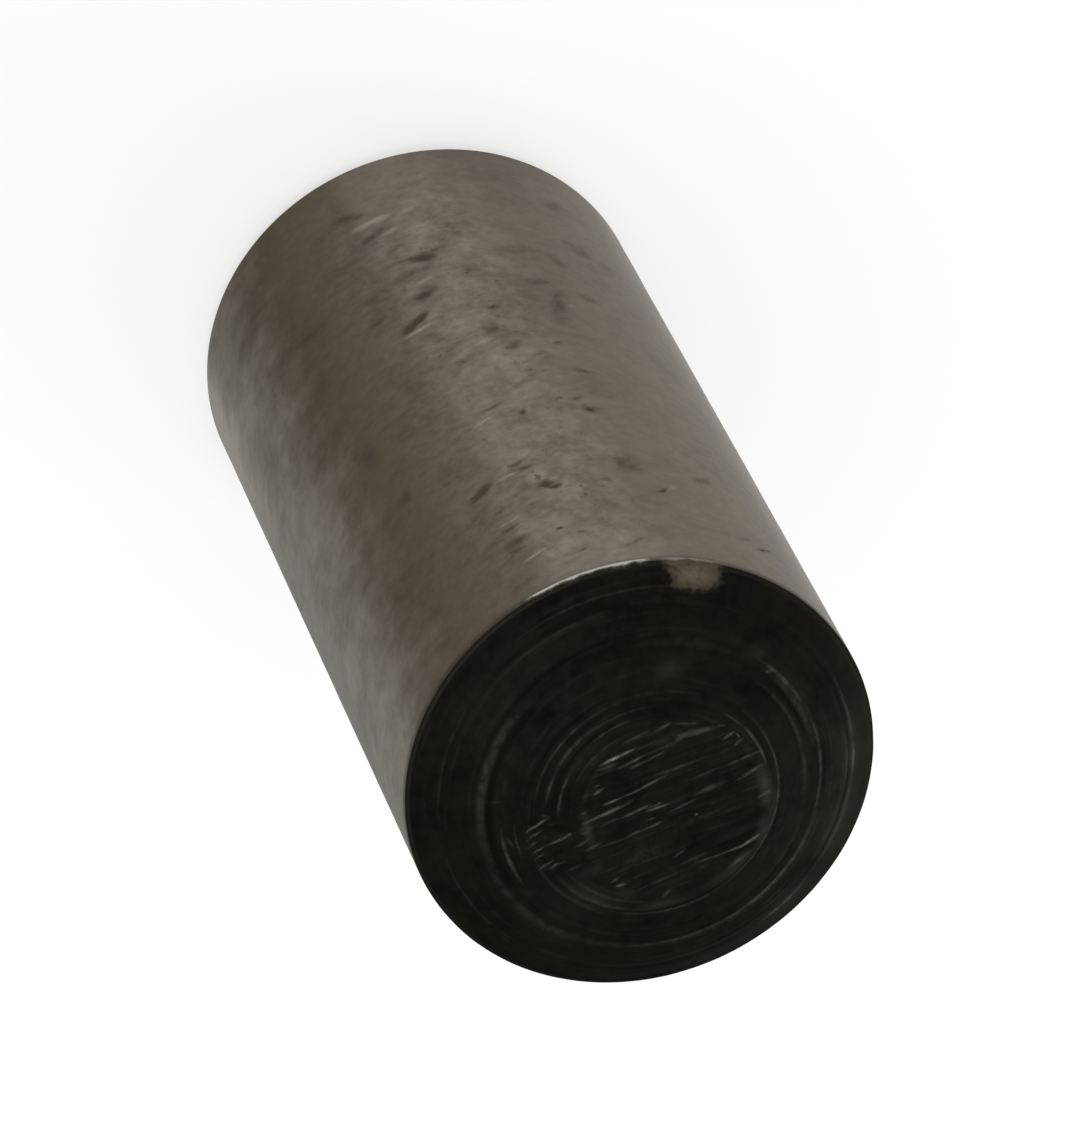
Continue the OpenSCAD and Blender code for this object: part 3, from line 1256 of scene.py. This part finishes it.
@dataclass
class Pin:
    """The whole pin, one turned piece, with its sizes in millimetres.

    A gap is how near to an edge or face a point counts as on it. A fade is the distance from an edge
    over which the marks begin.
    """

    land_r: float
    land_l: float
    foot_chamfer: float = 0.4
    rim_break: float = 0.1
    segments: int = 330
    land_cuts: int = 128
    crown_cuts: int = 142
    foot_cuts: int = 5
    rim_cuts: int = 4
    tip_r: float = 0.03
    end_gap: float = 0.01
    level_gap: float = 0.001
    crown_gap: float = 0.002
    land_gap: float = 0.05
    foot_fade: float = 0.3
    rim_fade: float = 0.1
    smooth_degrees: float = 38.0

    @property
    def rim_r(self) -> float:
        """Radius at which the crown starts."""
        return self.land_r - self.rim_break

    def build(self) -> bpy.types.Object:
        """Models the pin, gives it its worn form and its finishes.

        Returns:
            The finished piece.
        """
        piece = self.turn_blank()
        self.wear(piece)
        self.dress(piece)
        return piece

    def turn_blank(self) -> bpy.types.Object:
        """Models the plain bar: chamfered foot, broken rim, and rings of faces for the form to bend.

        Returns:
            The bar, with a flat top.
        """
        bpy.ops.object.select_all(action="DESELECT")
        bpy.ops.mesh.primitive_cylinder_add(
            vertices=self.segments,
            radius=self.land_r * MM,
            depth=self.land_l * MM,
            end_fill_type="NGON",
            location=(0.0, 0.0, self.land_l * MM / 2.0),
        )
        piece = bpy.context.active_object
        piece.name = "dowel_pin"
        bpy.ops.object.transform_apply(location=True, rotation=True, scale=True)
        bpy.ops.object.mode_set(mode="EDIT")
        near_foot, near_rim = self.end_gap * MM, (self.land_l - self.end_gap) * MM
        self.pick_edges(piece, lambda a, b: max(a.z, b.z) < near_foot)
        bpy.ops.mesh.bevel(offset=self.foot_chamfer * MM, segments=1, affect="EDGES")
        self.pick_edges(piece, lambda a, b: min(a.z, b.z) > near_rim)
        bpy.ops.mesh.bevel(offset=self.rim_break * MM, segments=self.rim_cuts, affect="EDGES")
        long = self.land_l * MM / 2.0
        self.pick_edges(piece, lambda a, b: abs(a.z - b.z) > long)
        bpy.ops.mesh.subdivide(number_cuts=self.land_cuts)
        self.ring_end(piece, 0.0, self.land_r - self.foot_chamfer, self.foot_cuts)
        self.ring_end(piece, self.land_l, self.rim_r, self.crown_cuts)
        bpy.ops.mesh.select_all(action="SELECT")
        bpy.ops.mesh.normals_make_consistent(inside=False)
        bpy.ops.object.mode_set(mode="OBJECT")
        return piece

    def ring_end(self, piece: bpy.types.Object, z: float, radius: float, cuts: int) -> None:
        """Cuts an end face into rings that close in a pole.

        Args:
            piece: The bar, in edit mode.
            z: Height of the end face, in millimetres.
            radius: Radius of the end face, in millimetres.
            cuts: Number of rings between its edge and its middle.
        """
        level, tip, near = z * MM, self.tip_r * MM, self.level_gap * MM

        def runs_out(start: Vector, end: Vector) -> bool:
            """Whether an edge lies in the end face and runs out from its middle."""
            in_face = max(abs(start.z - level), abs(end.z - level)) < near
            return in_face and abs(start.xy.length - end.xy.length) > tip

        self.pick_faces(piece, lambda c, n: abs(c.z - level) < near and abs(n.z) > 0.9)
        bpy.ops.mesh.inset(thickness=(radius - self.tip_r) * MM, depth=0.0)
        self.pick_edges(piece, runs_out)
        bpy.ops.mesh.subdivide(number_cuts=cuts)
        self.pick_faces(piece, lambda c, n: abs(c.z - level) < near and c.xy.length < tip * 0.1)
        bpy.ops.mesh.poke()

    @staticmethod
    def pick_edges(piece: bpy.types.Object, wanted: Callable[[Vector, Vector], bool]) -> None:
        """Selects, in edit mode, the edges whose two ends pass a test."""
        bpy.ops.mesh.select_mode(type="EDGE")
        bpy.ops.mesh.select_all(action="DESELECT")
        bpy.ops.object.mode_set(mode="OBJECT")
        places = [v.co for v in piece.data.vertices]
        for edge in piece.data.edges:
            first, second = edge.vertices
            edge.select = wanted(places[first], places[second])
        bpy.ops.object.mode_set(mode="EDIT")

    @staticmethod
    def pick_faces(piece: bpy.types.Object, wanted: Callable[[Vector, Vector], bool]) -> None:
        """Selects, in edit mode, the faces whose centre and normal pass a test."""
        bpy.ops.mesh.select_mode(type="FACE")
        bpy.ops.mesh.select_all(action="DESELECT")
        bpy.ops.object.mode_set(mode="OBJECT")
        for face in piece.data.polygons:
            face.select = wanted(face.center, face.normal)
        bpy.ops.object.mode_set(mode="EDIT")

    def wear(self, piece: bpy.types.Object) -> None:
        """Stores the marks on the mesh, raises the dome, saws its tip off and cuts every mark.

        Args:
            piece: The plain bar.
        """
        dome = Dome(self.land_l)
        for number in Stored:
            graph = MeshGraph(number.value)
            crown = CrownMarks(graph, graph.spot, dome)
            land = LandMarks(graph, graph.spot, self.land_r, self.land_l)
            fields = {Stored.HAZE: crown.haze, Stored.PITS: land.pits}
            graph.store(number, fields[number]())
            graph.apply(piece)
        graph = MeshGraph("worn_form")
        graph.place(self.worn_place(graph, dome))
        graph.apply(piece)

    def worn_place(self, graph: MeshGraph, dome: Dome) -> Wire:
        """Where a point of the plain bar lies on the worn pin.

        Args:
            graph: The tree that moves the points.
            dome: The crown's form.

        Returns:
            The new place, in millimetres.
        """
        spot = graph.spot
        crown = CrownMarks(graph, spot, dome)
        land = LandMarks(graph, spot, self.land_r, self.land_l)
        in_rim = 1.0 - spot.radius.above(self.rim_r + self.crown_gap)
        on_crown = spot.z.above(self.land_l - self.crown_gap) * in_rim
        off_foot = spot.z.fade(self.foot_chamfer, self.foot_chamfer + self.foot_fade)
        on_land = spot.radius.above(self.rim_r + self.land_gap) * off_foot
        rise = (dome.height(spot) - self.land_l) * on_crown
        raised = graph.vector(spot.x, spot.y, spot.z + rise)
        from_centre = graph.vectors("SUBTRACT", raised, (0.0, 0.0, dome.centre_z))
        flat_normal = tuple(dome.flat_normal)
        proud = graph.vectors("DOT_PRODUCT", from_centre, flat_normal) - dome.flat_distance
        sawn_off = graph.vectors("SCALE", flat_normal, scale=(proud | 0.0) * on_crown)
        sawn = graph.vectors("SUBTRACT", raised, sawn_off)
        off_rim = spot.radius.fade(self.rim_r, self.rim_r - self.rim_fade)
        dome_normal = graph.vectors("NORMALIZE", from_centre)
        below_crown = graph.vectors("SCALE", dome_normal, scale=crown.depth() * on_crown * off_rim)
        below_land = graph.vectors("SCALE", spot.outward, scale=land.depth() * on_land)
        return graph.vectors("SUBTRACT", graph.vectors("SUBTRACT", sawn, below_crown), below_land)

    def dress(self, piece: bpy.types.Object) -> None:
        """Gives each zone its finish and shades the piece smooth.

        Args:
            piece: The finished form.
        """
        finishes = {
            Zone.LAND: LandSteel(self.land_r, self.land_l),
            Zone.CROWN: CrownSteel(Dome(self.land_l)),
        }
        for zone in Zone:
            piece.data.materials.append(finishes[zone].make())
        rim_z, rim_r = (self.land_l - self.end_gap) * MM, self.rim_r * MM
        for face in piece.data.polygons:
            on_crown = face.center.z > rim_z and face.center.xy.length < rim_r
            face.material_index = (Zone.CROWN if on_crown else Zone.LAND).value
        bpy.ops.object.shade_smooth_by_angle(angle=math.radians(self.smooth_degrees))
        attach(piece, "root")
        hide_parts("pin")


@dataclass
class Studio:
    """Plain pale floor, soft lamps and a white surround, in metres and watts."""

    floor_r: float = 1.5
    floor_segments: int = 96
    floor_colour: Colour = (0.9, 0.9, 0.9, 1.0)
    glow: float = 0.6
    unseen_white: float = 0.9
    lamp_size: float = 0.30
    lamp_power: float = 0.5
    lamp_aim: tuple[float, float, float] = (0.0, 0.0, 0.01)

    def build(self) -> None:
        """Makes the floor, the world and the lamps."""
        self.lay_floor()
        self.light_world()
        self.hang_lamp("window_lamp", (-0.17, 0.32, 0.20))
        self.hang_lamp("overhead_lamp", (0.12, -0.10, 0.40))

    @staticmethod
    def seen(graph: Graph) -> Wire:
        """One for rays from the camera or off glossy and clear things, zero for others."""
        names = ("Is Camera Ray", "Is Glossy Ray", "Is Transmission Ray")
        camera, glossy, clear = (graph.node("ShaderNodeLightPath", out=name) for name in names)
        return camera | glossy | clear

    def lay_floor(self) -> None:
        """Lays the floor, which glows where it is seen, so that it is white but keeps the shadow."""
        bpy.ops.object.select_all(action="DESELECT")
        bpy.ops.mesh.primitive_circle_add(
            vertices=self.floor_segments, radius=self.floor_r, fill_type="NGON"
        )
        floor = bpy.context.active_object
        floor.name = "studio_floor"
        material, graph, shader = new_material("pale_floor")
        dull = {"Base Color": self.floor_colour, "Roughness": 1.0, "Specular IOR Level": 0.0}
        graph.feed_all(shader, dull)
        glow = graph.node("ShaderNodeEmission", None, {"Color": WHITE, "Strength": 1.0})
        both = {0: self.seen(graph) * self.glow, 1: Wire(graph, shader.outputs[0]), 2: glow}
        mixed = graph.node("ShaderNodeMixShader", None, both)
        output = next(n for n in material.node_tree.nodes if n.type == "OUTPUT_MATERIAL")
        graph.feed(output.inputs["Surface"], mixed)
        floor.data.materials.append(material)

    def light_world(self) -> None:
        """Makes the surround white where it is seen and softer as light."""
        world = bpy.data.worlds.new("studio_world")
        bpy.context.scene.world = world
        world.use_nodes = True
        graph = Graph(world.node_tree)
        background = next(n for n in world.node_tree.nodes if n.type == "BACKGROUND")
        strength = self.unseen_white + self.seen(graph) * (1.0 - self.unseen_white)
        graph.feed_all(background, {"Color": WHITE, "Strength": strength})

    def hang_lamp(self, name: str, place: Sequence[float]) -> None:
        """Hangs a square soft lamp that looks at the pin.

        Args:
            name: The lamp's name.
            place: Where it hangs, in metres.
        """
        bpy.ops.object.light_add(type="AREA", location=place)
        lamp = bpy.context.active_object
        lamp.name = name
        lamp.data.size = self.lamp_size
        lamp.data.energy = self.lamp_power
        aim = Vector(self.lamp_aim) - Vector(place)
        lamp.rotation_euler = aim.to_track_quat("-Z", "Y").to_euler()


@dataclass
class PhotoCamera:
    """The camera at the photograph's viewing angle, its place in millimetres from the foot's centre."""

    place: tuple[float, float, float] = (0.0, -102.84, 178.47)
    right: tuple[float, float, float] = (-0.8913, 0.3863, 0.2375)
    up: tuple[float, float, float] = (-0.4535, -0.7598, -0.4659)
    focal_pixels: float = 9166.2
    frame_height: float = 1132.0
    sensor: float = 36.0
    clip: Place = (0.01, 20.0)

    def build(self) -> None:
        """Makes the camera and sets it as the scene's."""
        data = bpy.data.cameras.new("photo_camera")
        camera = bpy.data.objects.new("photo_camera", data)
        bpy.context.scene.collection.objects.link(camera)
        data.sensor_width = self.sensor
        data.lens = self.focal_pixels / self.frame_height * self.sensor
        data.clip_start, data.clip_end = self.clip
        right = Vector(self.right).normalized()
        back = right.cross(Vector(self.up)).normalized()
        turned = Matrix((right, back.cross(right), back)).transposed().to_4x4()
        camera.matrix_world = Matrix.Translation(Vector(self.place) * MM) @ turned
        bpy.context.scene.camera = camera


def main() -> None:
    """Builds the pin, the studio and the camera."""
    logging.basicConfig(level=logging.INFO, format="%(message)s")
    bpy.context.scene.view_settings.view_transform = "Standard"
    low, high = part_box("pin")
    reach = min(high.x, high.y, -low.x, -low.y) / MM
    piece = Pin(land_r=reach, land_l=20.0).build()
    LOG.info("%s: %d faces", piece.name, len(piece.data.polygons))
    Studio().build()
    LOG.info("studio: floor, world and lamps")
    PhotoCamera().build()
    LOG.info("camera: at the photograph's viewing angle")


if __name__ == "__main__":
    main()
